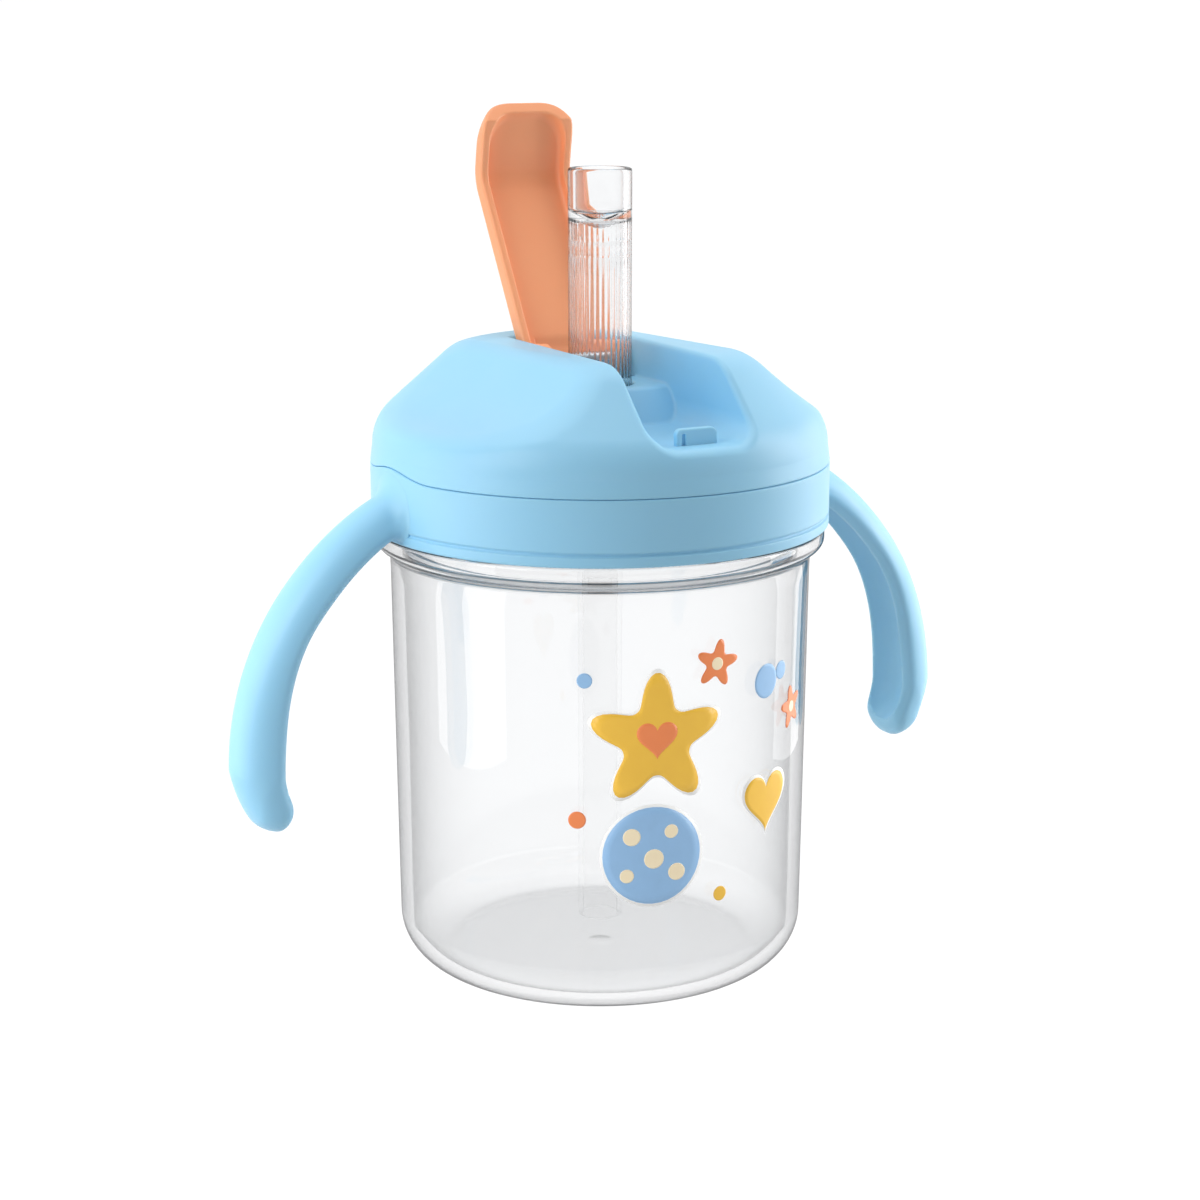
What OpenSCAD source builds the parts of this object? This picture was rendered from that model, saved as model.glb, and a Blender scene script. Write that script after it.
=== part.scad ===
// Toddler straw cup with two handles, a domed lid and a flip cover over a soft straw.
// Millimetres. +Z is up, the origin is at the centre of the cup's underside.
// -Y is the drinking side, where the slot in the lid opens. The handles lie along X.

/* [Cup] */
// Outer radius of the clear cup just above its bottom fillet
cup_r_low = 36.0; // [35.8:0.1:36.2]
// Outer radius of the clear cup below its flange
cup_r_high = 36.8; // [36.6:0.1:36.9]
// Wall thickness of the clear cup
cup_wall = 2.2; // [1.8:0.1:2.4]
// Outer fillet radius between the side and the bottom
cup_fillet = 9; // [8:0.5:10]

/* [Lid] */
// Outer radius of the lid and of the handle ring
lid_r = 40; // [39.9:0.1:40.2]
// Height of the flat top of the lid above the table
lid_top = 110.5; // [110:0.5:111]
// Wall thickness of the lid shell
lid_wall = 2.2; // [1.8:0.1:2.4]
// Radius of the finger scoops in the sides of the lid
scoop_r = 35.2; // [34.8:0.2:35.4]
// Angle that the finger scoops are turned by about the lid's axis
scoop_turn = 8; // [0:1:8]

/* [Slot] */
// Width of the slot that the cover closes into
slot_w = 19; // [19:0.2:19.6]
// Height of the slot floor above the table
slot_floor = 98; // [97.6:0.2:98.2]

/* [Cover] */
// Width of the flip cover
cover_w = 18; // [17.4:0.2:18]
// Wall thickness of the flip cover
cover_wall = 1.5; // [1.3:0.1:1.7]
// Angle that the cover turns through from open to closed
cover_angle = 121.5; // [119:0.5:121.5]

/* [Straw] */
// Outer radius of the soft mouthpiece
straw_r = 5.5; // [5.3:0.1:5.5]
// Wall thickness of the soft mouthpiece
straw_wall = 1.25; // [1.1:0.05:1.3]
// Height of the mouthpiece rim above the table
straw_top = 140.6; // [139:0.2:142]

/* [Handles] */
// Distance from the cup axis to the crown of each handle
handle_reach = 69.6; // [69:0.2:70]
// Width of a handle
handle_w = 12.5; // [11.5:0.5:13]
// Thickness of a handle
handle_t = 7; // [6.6:0.2:7.2]

/* [Hidden] */
$fn = 96;
tiny = 0.01;

// Levels, from the table upwards
flange_low = 75.5;
flange_top = 79.2;
ring_low = 79.45;
rim_top = 85.85;
seal_top = 87.4;
plate_top = 89.2;
ring_top = 90.7;

// Neck of the cup
flange_r = 39.3;
neck_r = 34.9;
neck_inner_r = 32.6;
cup_inner_high = cup_r_high - cup_wall;
thread_gap = 0.35;
thread_depth = 0.8;
thread_root_in = 0.2;
thread_rise = 3;
thread_turn = 100;
thread_z = 82.7;
thread_root_h = 1.6;
thread_crest_h = 0.8;

// Handle ring
ring_bore_r = 37.2;
ring_lip_r = 35;
groove_z = 81.6;
groove_depth = 0.3;
hump_half_w = 10.5;
hump_h = 1.3;
hump_r = (hump_half_w * hump_half_w + hump_h * hump_h) / (2 * hump_h);
hump_z = ring_top + hump_h - hump_r;

// Lid shell: the side, a round shoulder, a 45 degree cone and a round brow
shoulder_r = 9;
brow_r = 9.9;
side_draft = 0.4;
shoulder_x = lid_r - side_draft - shoulder_r;
shoulder_z = ring_top + 3;
cone_sum = shoulder_x + shoulder_z + shoulder_r * sqrt(2);
brow_z = lid_top - brow_r;
brow_x = cone_sum - brow_z - brow_r * sqrt(2);
scoop_x = 43.4;
scoop_z = lid_top + 22.7;
seat_r = 34.9;
seat_h = 2.5;

// Slot, its straw block and its latch tab
slot_corner = 4;
slot_back_low = 12.6;
slot_back_z = 104.2;
slot_back_gap = 1.4;
block_top = 103.7;
block_front_top = -6.4;
block_front_low = -11.7;
block_step_y = 4.2;
block_step_z = 102;
tray_floor = slot_floor - 1.8;
straw_hole_r = 5.8;
tab_y = -31;
tab_w = 7.4;
tab_h = 3;
tab_t = 1.6;

// Hinge
pivot_y = 8.8;
pivot_z = 106.5;
pin_r = 1.5;
pin_half = 11.6;
pin_hole_r = 1.51;
knuckle_r = 4;
knuckle_hole_r = 1.56;
lug_inner = 5.7;

// Cover, in its closed position about the hinge axis: u runs forward, w runs up
cover_bend_u = 35;
cover_bend_r = 8;
cover_slope = 41;
cover_tip_u = 48.7;
cover_depth = 3.6;
rim_w = -5.9;
cover_corner = 6.5;
ridge_r = 1.9;
ridge_u = 44;
ridge_w = -1.4;
ridge_half = 6;

// Straw parts
valve_z = 132.5;
membrane_t = 0.8;
connector_flange_r = 7;
connector_flange_t = 1.4;
spigot_r = straw_r - straw_wall - 0.05;
spigot_top = 102;
connector_bore_r = 2;
lower_spigot_r = 3;
lower_spigot_low = 74;
tube_r = 3.9;
tube_bore_r = 3.05;
tube_low = 7;
valve_y = 22;
valve_stem_r = 1.6;

// Handles: one arc in the XZ plane, then a round pad
arc_r = 49.6;
arc_x = handle_reach - arc_r;
arc_z = 42.5;
arc_from = -3;
arc_to = 70;
crown_r = 8.4;
channel_w = 7.6;
channel_d = 1.6;
root_z = 84.9;
pad_r = 4.5;
pad_inset = 0.35;
pad_crown_r = 7;
pad_z = 37.8;

// Points of an arc about [cx, cz], for outlines
function arc(cx, cz, r, from, to, steps = 8) =
    [for (i = [0:steps]) let (a = from + (to - from) * i / steps) [cx + r * cos(a), cz + r * sin(a)]];

// One start of a thread: part of a ring, tilted so that it climbs thread_rise over thread_turn
module thread_start(inner_r, outer_r, outward) {
    tilt = asin(thread_rise / (2 * outer_r * sin(thread_turn / 2)));
    in_h = outward ? thread_root_h : thread_crest_h;
    out_h = outward ? thread_crest_h : thread_root_h;
    margin = 2;
    intersection() {
        translate([0, 0, thread_z])
            rotate([0, tilt, 0])
                rotate_extrude()
                    polygon([[inner_r, -in_h / 2], [outer_r, -out_h / 2],
                             [outer_r, out_h / 2], [inner_r, in_h / 2]]);
        rotate([0, 0, 90 - thread_turn / 2])
            rotate_extrude(angle = thread_turn)
                translate([inner_r - margin, thread_z - 2 * margin])
                    square([outer_r - inner_r + 2 * margin, 4 * margin]);
    }
}

// The cup and its neck are one moulding, kept as two solids that meet at the flange's underside
module cup_body() {
    gate_r = 2.4;
    gate_d = 0.5;
    inner_low = cup_r_low - cup_wall;
    inner_fillet = cup_fillet - cup_wall;
    color("lightcyan", 0.35)
    difference() {
        rotate_extrude()
            polygon(concat(
                [[0, 0]],
                arc(cup_r_low - cup_fillet, cup_fillet, cup_fillet, -90, 0),
                [[cup_r_high, flange_low - 2], [cup_r_high + 0.5, flange_low],
                 [cup_inner_high, flange_low]],
                arc(inner_low - inner_fillet, cup_wall + inner_fillet, inner_fillet, 0, -90),
                [[0, cup_wall]]
            ));
        translate([0, 0, -tiny]) cylinder(r = gate_r, h = gate_d);
    }
}

module cup_neck() {
    edge_r = 1.8;
    color("lightcyan", 0.35)
    union() {
        rotate_extrude()
            polygon(concat(
                [[cup_inner_high, flange_low], [cup_r_high + 0.5, flange_low]],
                arc(flange_r - edge_r, flange_low + edge_r, edge_r, -60, 0, 4),
                [[flange_r, flange_top], [neck_r, flange_top], [neck_r, rim_top],
                 [neck_inner_r, rim_top], [neck_inner_r, flange_top + 1]]
            ));
        for (a = [0, 120, 240])
            rotate([0, 0, a])
                thread_start(neck_r - thread_root_in, neck_r + thread_depth, true);
    }
}

// The raised tongue of the ring above one handle, grown by gap for the notch in the lid
module hump(side, inner_r, outer_r, gap) {
    intersection() {
        translate([side * 30, 0, hump_z])
            rotate([0, side * 90, 0])
                cylinder(r = hump_r + gap, h = 20);
        rotate_extrude()
            translate([inner_r, ring_top - 1])
                square([outer_r - inner_r, hump_h + 2]);
    }
}

module handle_ring() {
    color("skyblue")
    difference() {
        union() {
            rotate_extrude()
                polygon([[ring_bore_r, ring_low], [lid_r, ring_low], [lid_r, ring_top],
                         [ring_lip_r, ring_top], [ring_lip_r, plate_top], [ring_bore_r, plate_top]]);
            for (side = [-1, 1])
                hump(side, ring_bore_r, lid_r, 0);
            for (a = [60, 180, 300])
                rotate([0, 0, a])
                    thread_start(neck_r + thread_depth + thread_gap, ring_bore_r + thread_root_in, false);
        }
        rotate_extrude()
            translate([lid_r, groove_z])
                circle(r = groove_depth);
    }
}

module handle_section() {
    // x is the distance from the arc's centre, y runs across the handle
    difference() {
        intersection() {
            translate([arc_r - crown_r, 0]) circle(r = crown_r);
            translate([arc_r - handle_t, -handle_w / 2]) square([handle_t, handle_w]);
        }
        translate([arc_r - handle_t - tiny, -channel_w / 2]) square([channel_d, channel_w]);
    }
}

module handle(side) {
    root_r = 7.2;
    root_end_r = 3.2;
    root_len = 17;
    root_tilt = 26;
    mirror([side < 0 ? 1 : 0, 0, 0])
    difference() {
        union() {
            // The arc is turned about Y, so its section is revolved about Z and laid over
            translate([arc_x, 0, arc_z])
                rotate([90, 0, 0])
                    rotate([0, 0, arc_from])
                        rotate_extrude(angle = arc_to - arc_from)
                            handle_section();
            translate([lid_r - 2, 0, root_z])
                rotate([0, 90 + root_tilt, 0])
                    cylinder(r1 = root_r, r2 = root_end_r, h = root_len);
            // Rounded pad at the lower end
            translate([handle_reach - pad_r - pad_inset, 0, pad_z])
                intersection() {
                    rotate([90, 0, 0]) cylinder(r = pad_r, h = handle_w + 0.6, center = true);
                    sphere(r = pad_crown_r);
                }
        }
        translate([0, 0, ring_low - 20]) cylinder(r = lid_r, h = 60);
    }
}

module handle_left() {
    color("skyblue") handle(-1);
}

module handle_right() {
    color("skyblue") handle(1);
}

module dome_outline(wall, low) {
    polygon(concat(
        [[0, low], [lid_r - wall, low]],
        arc(shoulder_x, shoulder_z, shoulder_r - wall, 0, 45),
        arc(brow_x, brow_z, brow_r - wall, 45, 90),
        [[0, lid_top - wall]]
    ));
}

module scoops(r) {
    rotate([0, 0, scoop_turn])
        for (side = [-1, 1])
            translate([side * scoop_x, 60, scoop_z])
                rotate([90, 0, 0])
                    cylinder(r = r, h = 120);
}

module slot_section(half, floor_z, corner) {
    top = lid_top + 10;
    translate([-half, floor_z + corner]) square([2 * half, top - floor_z - corner]);
    translate([-half + corner, floor_z]) square([2 * (half - corner), corner + 1]);
    for (side = [-1, 1])
        translate([side * (half - corner), floor_z + corner]) circle(r = corner);
}

// The open space of the slot, from the mouth to the sloped back that the open cover rests near
module slot_space() {
    back_run = (lid_top + 10 - pivot_z) * tan(cover_angle - 90);
    intersection() {
        translate([0, 60, 0])
            rotate([90, 0, 0])
                linear_extrude(120)
                    slot_section(slot_w / 2, slot_floor, slot_corner);
        rotate([90, 0, 90])
            linear_extrude(40, center = true)
                polygon([[-50, slot_floor - 1], [slot_back_low, slot_floor - 1],
                         [slot_back_low, slot_back_z],
                         [slot_back_low + back_run + slot_back_gap, lid_top + 10],
                         [-50, lid_top + 10]]);
    }
}

module straw_block() {
    half = slot_w / 2 + tiny;
    rotate([90, 0, 90])
        translate([0, 0, -half])
            linear_extrude(2 * half)
                polygon([[block_front_low, slot_floor - tiny], [slot_back_low + tiny, slot_floor - tiny],
                         [slot_back_low + tiny, block_step_z], [block_step_y, block_step_z],
                         [block_step_y, block_top], [block_front_top, block_top]]);
}

module latch_tab() {
    r = tab_h / 2;
    translate([0, tab_y + tab_t / 2, slot_floor])
        rotate([90, 0, 0])
            linear_extrude(tab_t) {
                translate([-tab_w / 2, -tiny]) square([tab_w, r]);
                translate([-tab_w / 2, 0]) square([tab_w - r, tab_h]);
                translate([tab_w / 2 - r, r]) circle(r = r);
            }
}

module lid_dome() {
    tray_half = slot_w / 2 + lid_wall;
    color("lightskyblue")
    difference() {
        union() {
            difference() {
                rotate_extrude() dome_outline(0, ring_top);
                scoops(scoop_r);
                // Hollow under the shell, around the scoops and the slot tray
                difference() {
                    rotate_extrude() dome_outline(lid_wall, ring_top - 1);
                    scoops(scoop_r + lid_wall);
                    translate([-tray_half, -50, tray_floor])
                        cube([2 * tray_half, 50 + slot_back_low + 6, 40]);
                    rotate_extrude()
                        translate([seat_r, ring_top - 1])
                            square([10, seat_h + 1]);
                }
                slot_space();
            }
            straw_block();
            latch_tab();
        }
        for (side = [-1, 1])
            hump(side, ring_bore_r - 0.1, lid_r + 1, 0.12);
        translate([0, 0, tray_floor - 1]) cylinder(r = straw_hole_r, h = 20);
        translate([-tray_half - 0.5, pivot_y, pivot_z])
            rotate([0, 90, 0])
                cylinder(r = pin_hole_r, h = 2 * tray_half + 1);
    }
}

module inner_lid() {
    plate_r = 36.9;
    upstand_r = 34.8;
    upstand_in = 33.2;
    upstand_h = 3.6;
    color("white")
    difference() {
        union() {
            translate([0, 0, seal_top]) cylinder(r = plate_r, h = plate_top - seal_top);
            translate([0, 0, plate_top - tiny])
                difference() {
                    cylinder(r = upstand_r, h = upstand_h);
                    translate([0, 0, -1]) cylinder(r = upstand_in, h = upstand_h + 2);
                }
        }
        translate([0, 0, seal_top - 1]) cylinder(r = lower_spigot_r + 0.03, h = 5);
        translate([0, valve_y, seal_top - 1]) cylinder(r = valve_stem_r + 0.03, h = 5);
    }
}

module seal_ring() {
    color("gainsboro")
    rotate_extrude()
        translate([neck_inner_r + 0.2, rim_top + 0.05])
            square([4, seal_top - rim_top - 0.05]);
}

module air_valve() {
    cap_r = 4;
    cap_t = 1.2;
    bulb = 2.4;
    bill_h = 3.4;
    color("gainsboro")
    translate([0, valve_y, 0])
    difference() {
        rotate_extrude()
            polygon([[0, seal_top - bill_h], [0.5, seal_top - bill_h], [bulb, seal_top - 1],
                     [bulb, seal_top], [valve_stem_r, seal_top], [valve_stem_r, plate_top],
                     [cap_r, plate_top], [cap_r - 0.5, plate_top + cap_t], [0, plate_top + cap_t]]);
        translate([0, 0, seal_top - bill_h + 1]) cylinder(r = 0.6, h = 10);
    }
}

module straw_connector() {
    color("white")
    difference() {
        union() {
            translate([0, 0, lower_spigot_low])
                cylinder(r = lower_spigot_r, h = plate_top - lower_spigot_low + tiny);
            translate([0, 0, plate_top]) cylinder(r = connector_flange_r, h = connector_flange_t);
            translate([0, 0, plate_top + 1]) cylinder(r = spigot_r, h = spigot_top - plate_top - 1);
        }
        translate([0, 0, lower_spigot_low - 1]) cylinder(r = connector_bore_r, h = 40);
    }
}

module straw_mouthpiece() {
    bore = straw_r - straw_wall;
    foot_r = 7.2;
    foot_h = 2.8;
    foot_z = plate_top + connector_flange_t + 0.05;
    slit_w = 0.3;
    color("whitesmoke", 0.6)
    difference() {
        union() {
            rotate_extrude()
                polygon([[bore, foot_z], [foot_r, foot_z], [foot_r, foot_z + foot_h],
                         [straw_r, foot_z + foot_h + 1.2], [straw_r, straw_top - 0.5],
                         [straw_r - 0.4, straw_top], [bore + 0.3, straw_top], [bore, straw_top - 0.4]]);
            // Soft valve across the bore
            rotate_extrude()
                polygon([[0, valve_z - 2], [bore + 0.1, valve_z], [bore + 0.1, valve_z + membrane_t],
                         [0, valve_z - 2 + membrane_t]]);
        }
        translate([-2.5, -slit_w / 2, valve_z - 4]) cube([5, slit_w, 8]);
    }
}

module lower_straw() {
    color("whitesmoke", 0.6)
    difference() {
        translate([0, 0, tube_low]) cylinder(r = tube_r, h = seal_top - 0.1 - tube_low);
        translate([0, 0, tube_low - 1]) cylinder(r = tube_bore_r, h = seal_top);
    }
}

module hinge_pin() {
    color("silver")
    translate([-pin_half, pivot_y, pivot_z])
        rotate([0, 90, 0])
            cylinder(r = pin_r, h = 2 * pin_half);
}

// Side view of the cover's skin at one depth below its outer face
module cover_side(inset, low) {
    bend_r = cover_bend_r - inset;
    // The outer face falls from the bend at cover_slope to the tip
    bend_w = knuckle_r - cover_bend_r;
    tip_run = cover_tip_u + 4;
    fall = [cover_bend_u + bend_r * sin(cover_slope), bend_w + bend_r * cos(cover_slope)];
    end_w = fall[1] - (tip_run - fall[0]) * tan(cover_slope);
    polygon(concat(
        [[low, -knuckle_r - 12], [low, knuckle_r - inset]],
        arc(cover_bend_u, bend_w, bend_r, 90, 90 - cover_slope, 6),
        [[tip_run, end_w], [tip_run, -knuckle_r - 12]]
    ));
}

// Slope that takes the tip back from its outer edge to the rim
module cover_bevel() {
    bevel_run = 3.5;
    bevel_rise = 0.6;
    u = cover_tip_u - bevel_run;
    low = -40;
    polygon([[u, rim_w], [u + 2 * bevel_run, rim_w + 2 * bevel_rise], [u + 2 * bevel_run, low], [u, low]]);
}

// Plan view of the cover, inset from its edge
module cover_plan(inset) {
    half = cover_w / 2 - inset;
    corner = cover_corner - inset;
    tip = cover_tip_u - inset;
    translate([-10, -half]) square([tip - corner + 10, 2 * half]);
    translate([0, -half + corner]) square([tip, 2 * (half - corner)]);
    for (side = [-1, 1])
        translate([tip - corner, side * (half - corner)]) circle(r = corner);
}

// The cover in its closed position, about the hinge axis, with u along X and w along Z
module cover_closed() {
    cavity_from = 1 + cover_depth;
    difference() {
        union() {
            intersection() {
                rotate([90, 0, 0])
                    linear_extrude(cover_w, center = true)
                        difference() {
                            cover_side(0, 0);
                            // Everything below the rim
                            translate([0, -cover_depth]) cover_side(0, -20);
                            cover_bevel();
                        }
                translate([0, 0, -20]) linear_extrude(40) cover_plan(0);
            }
            rotate([90, 0, 0]) cylinder(r = knuckle_r, h = cover_w, center = true);
            // Thumb ridge near the tip
            translate([ridge_u, 0, ridge_w]) {
                rotate([90, 0, 0]) cylinder(r = ridge_r, h = 2 * ridge_half, center = true);
                for (side = [-1, 1])
                    translate([0, side * ridge_half, 0]) sphere(r = ridge_r);
            }
        }
        // Cavity
        intersection() {
            rotate([90, 0, 0])
                linear_extrude(cover_w, center = true)
                    cover_side(cover_wall, cavity_from);
            translate([0, 0, -20]) linear_extrude(40) cover_plan(cover_wall);
        }
        // Room for the straw between the two lugs
        translate([-6, -lug_inner, -10]) cube([12, 2 * lug_inner, 10 + knuckle_r - cover_wall]);
        rotate([90, 0, 0]) cylinder(r = knuckle_hole_r, h = 30, center = true);
    }
}

module flip_cover() {
    color("sandybrown")
    translate([0, pivot_y, pivot_z])
        rotate([-cover_angle, 0, 0])
            rotate([0, 0, -90])
                cover_closed();
}

cup_body();
cup_neck();
handle_ring();
handle_left();
handle_right();
lid_dome();
inner_lid();
seal_ring();
air_valve();
straw_connector();
straw_mouthpiece();
lower_straw();
hinge_pin();
flip_cover();
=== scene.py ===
"""Looks for a toddler's straw cup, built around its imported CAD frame.

Lengths in the named values are millimetres, and meshes are made in metres.
The moulded parts are described as distance fields, so that their edges get true fillets,
and are turned into meshes by field_mesh(). Turned parts are lathe meshes, and the print on
the cup is a set of thin closed films.
"""
import math

import bpy
import numpy as np
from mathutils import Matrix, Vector


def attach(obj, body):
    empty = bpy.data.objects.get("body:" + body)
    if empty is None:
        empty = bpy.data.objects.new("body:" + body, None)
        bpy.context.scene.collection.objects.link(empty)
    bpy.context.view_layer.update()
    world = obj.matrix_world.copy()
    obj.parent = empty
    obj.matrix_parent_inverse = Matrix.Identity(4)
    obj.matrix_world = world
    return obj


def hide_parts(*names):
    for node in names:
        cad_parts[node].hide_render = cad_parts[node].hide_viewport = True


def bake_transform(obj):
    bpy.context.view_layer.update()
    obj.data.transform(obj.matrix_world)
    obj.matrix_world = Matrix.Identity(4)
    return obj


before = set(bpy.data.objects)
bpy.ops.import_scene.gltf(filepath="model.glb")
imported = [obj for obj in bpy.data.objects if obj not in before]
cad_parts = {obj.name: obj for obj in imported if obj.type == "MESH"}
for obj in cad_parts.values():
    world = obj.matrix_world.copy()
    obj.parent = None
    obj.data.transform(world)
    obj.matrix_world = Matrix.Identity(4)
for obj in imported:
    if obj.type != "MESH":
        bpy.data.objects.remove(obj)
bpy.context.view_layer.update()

MM = 0.001

# ---------------------------------------------------------------- dimensions
# The main sizes are the CAD's own; the finest details are only in the looks.

# Handle ring, with the seam between it and the dome.
LID_R = 40.0
RING_LOW = 79.45
PLATE_TOP = 89.2
RING_TOP = 90.7
RING_BORE_R = 37.2
RING_LIP_R = 35.0
GROOVE_Z = 81.6
GROOVE_R = 0.34
HUMP_H = 1.3
HUMP_HALF_W = 12.0
SEAM_LAYERS = (-0.3, -0.12, 0.0, 0.1, 0.2, 0.32, 0.46, 0.65, 0.9, 1.2, 1.6)

# Dome and finger scoops.
WALL = 2.2
LID_TOP = 110.5
SHOULDER_R = 9.0
SHOULDER_X = 30.6
SHOULDER_Z = RING_TOP + 3
CONE_SUM = SHOULDER_X + SHOULDER_Z + SHOULDER_R * math.sqrt(2)
BROW_Z = LID_TOP - SHOULDER_R
BROW_X = CONE_SUM - BROW_Z - SHOULDER_R * math.sqrt(2)
SIDE_DRAFT = 0.4 / 3
SCOOP_X = 43.4
SCOOP_Z = LID_TOP + 22.7
SCOOP_R = 35.2
SCOOP_TURN = math.radians(8)

# Slot, straw block, latch tab and the inside of the dome.
SLOT_HALF = 9.5
SLOT_FLOOR = 98.0
SLOT_CORNER = 4.0
SLOT_BACK_Y = 12.6
SLOT_BACK_Z = 104.2
SLOT_BACK_LEAN = math.radians(31.5)
BLOCK_TOP = 103.7
BLOCK_FRONT_LOW = -13.0
BLOCK_FRONT_TOP = -7.3
BLOCK_STEP_Y = 4.2
BLOCK_STEP_Z = 102.0
TRAY_HALF = SLOT_HALF + WALL
TRAY_FLOOR = 96.2
STRAW_HOLE_R = 5.8
SEAT_R = 34.9
SEAT_TOP = RING_TOP + 2.5
TAB_Y = -33.2
TAB_W = 7.6
TAB_H = 2.7
TAB_T = 1.3
TAB_LEAN = 0.12
TAB_NOTCH_X = 1.3 - TAB_W / 2

# Cover. U runs from the pivot along it, and W through its depth.
PIVOT_Y = 8.8
PIVOT_Z = 106.5
PIN_R = 1.5
COVER_ANGLE = math.radians(121.5)
COVER_HALF = 9.0
COVER_WALL = 1.5
COVER_DEPTH = 3.6
COVER_CORNER = 6.5
COVER_TIP = 48.7
COVER_BEND_U = 35.0
COVER_BEND_R = 8.0
COVER_SLOPE = math.radians(41)
COVER_TIP_WALL = 1.3
COVER_RISE = 0.17
RIDGE_U = 44.0
RIDGE_W = -1.4
RIDGE_HALF = 6.0
RIDGE_R = 1.9
KNUCKLE_R = 4.0
KNUCKLE_INSET = 0.7
LUG_INNER = 5.7
LUG_REACH = 6.5

# Cup, flange, neck and thread.
CUP_R_LOW = 36.0
CUP_R_HIGH = 36.8
CUP_WALL = 2.2
CUP_FILLET = 9.0
FLANGE_LOW = 75.5
FLANGE_TOP = 79.2
FLANGE_R = 39.3
NECK_R = 34.9
NECK_INNER_R = 32.6
RIM_TOP = 85.85
THREAD_Z = 82.7
THREAD_RISE = 3.0
THREAD_TURN = math.radians(100)
THREAD_DEPTH = 0.8
THREAD_ROOT_HALF = 0.8
THREAD_CREST_HALF = 0.35
THREAD_STEPS = 30
THREAD_GAP = 0.35
THREAD_STARTS = 3

# Mouthpiece and lower straw.
STRAW_R = 5.5
STRAW_BORE = 4.25
STRAW_TOP = 140.6
STRAW_FOOT_Z = 90.65
STRAW_FOOT_R = 7.2
STRAW_RIBS = 30
STRAW_RIB = 0.07
STRAW_RING = 0.14
STRAW_RINGS_Z = (125.85, 128.45)
VALVE_Z = 132.5
TUBE_LOW = 7.0
TUBE_TOP = 87.3
TUBE_R = 3.9
TUBE_BORE = 3.05

# Handles.
ARC_R = 49.6
ARC_X = 20.0
ARC_Z = 42.5
HANDLE_HALF_W = 6.3
HANDLE_THICK = 8.0
HANDLE_THINNING = 1.5
ROOT_FILLET = 2.4
CREASE_Z = 43.0
TIP_Z = 32.0
TIP_CORNER = 6.2
TIP_ROUND = 2.6
LOBE = 1.4
CROWN_POWER = 2.15
CHAMFER = 1.3
CHAMFER_FOOT = 0.9
RECESS_DEPTH = 3.0
RECESS_MARGIN = 1.9
RECESS_LOW_Z = 39.9

# Print: its layers, and how far they stand off the cup.
PRINT_LIFT = 0.06
PRINT_LAYER = 0.035
PRINT_UNDER = 0.01
PRINT_RINGS = 6


# ---------------------------------------------------------------- distance fields
def round_join(a, b, r):
    """Union of two fields with a fillet of radius r between them."""
    return np.maximum(r, np.minimum(a, b)) - np.hypot(np.maximum(r - a, 0), np.maximum(r - b, 0))


def round_cut(a, b, r):
    """Intersection of two fields with its edge rounded to radius r."""
    return np.minimum(-r, np.maximum(a, b)) + np.hypot(np.maximum(r + a, 0), np.maximum(r + b, 0))


def round_box(p, q, corner):
    """2-D field of a rounded corner: p and q are the distances past the corner's two sides."""
    return np.hypot(np.maximum(p + corner, 0), np.maximum(q + corner, 0)) \
        + np.minimum(np.maximum(p, q) + corner, 0) - corner


def smooth_step(low, high, v):
    """0 below low, 1 above high; low may be the larger, which turns the step round."""
    t = np.clip((v - low) / (high - low), 0, 1)
    return t * t * (3 - 2 * t)


def seam_lift(x, y):
    """How far the seam between ring and dome rises over the root of each handle."""
    wave = 0.5 + 0.5 * np.cos(np.pi * np.clip(np.abs(y) / HUMP_HALF_W, 0, 1))
    return HUMP_H * wave * smooth_step(20, 34, np.abs(x))


def gradient(field, p, h=0.03):
    """The field's slope at each point, by central differences."""
    steps = np.eye(3) * h
    return np.stack([(field(*(p + s).T) - field(*(p - s).T)) / (2 * h) for s in steps], axis=1)


def project(field, p, rounds=3, most=0.4):
    """Moves points onto the surface where the field is zero."""
    for _ in range(rounds):
        g = gradient(field, p)
        size = np.maximum((g * g).sum(1), 0.05)
        step = np.clip(field(*p.T) / size, -most, most)
        p = p - g * step[:, None]
    return p


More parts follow.
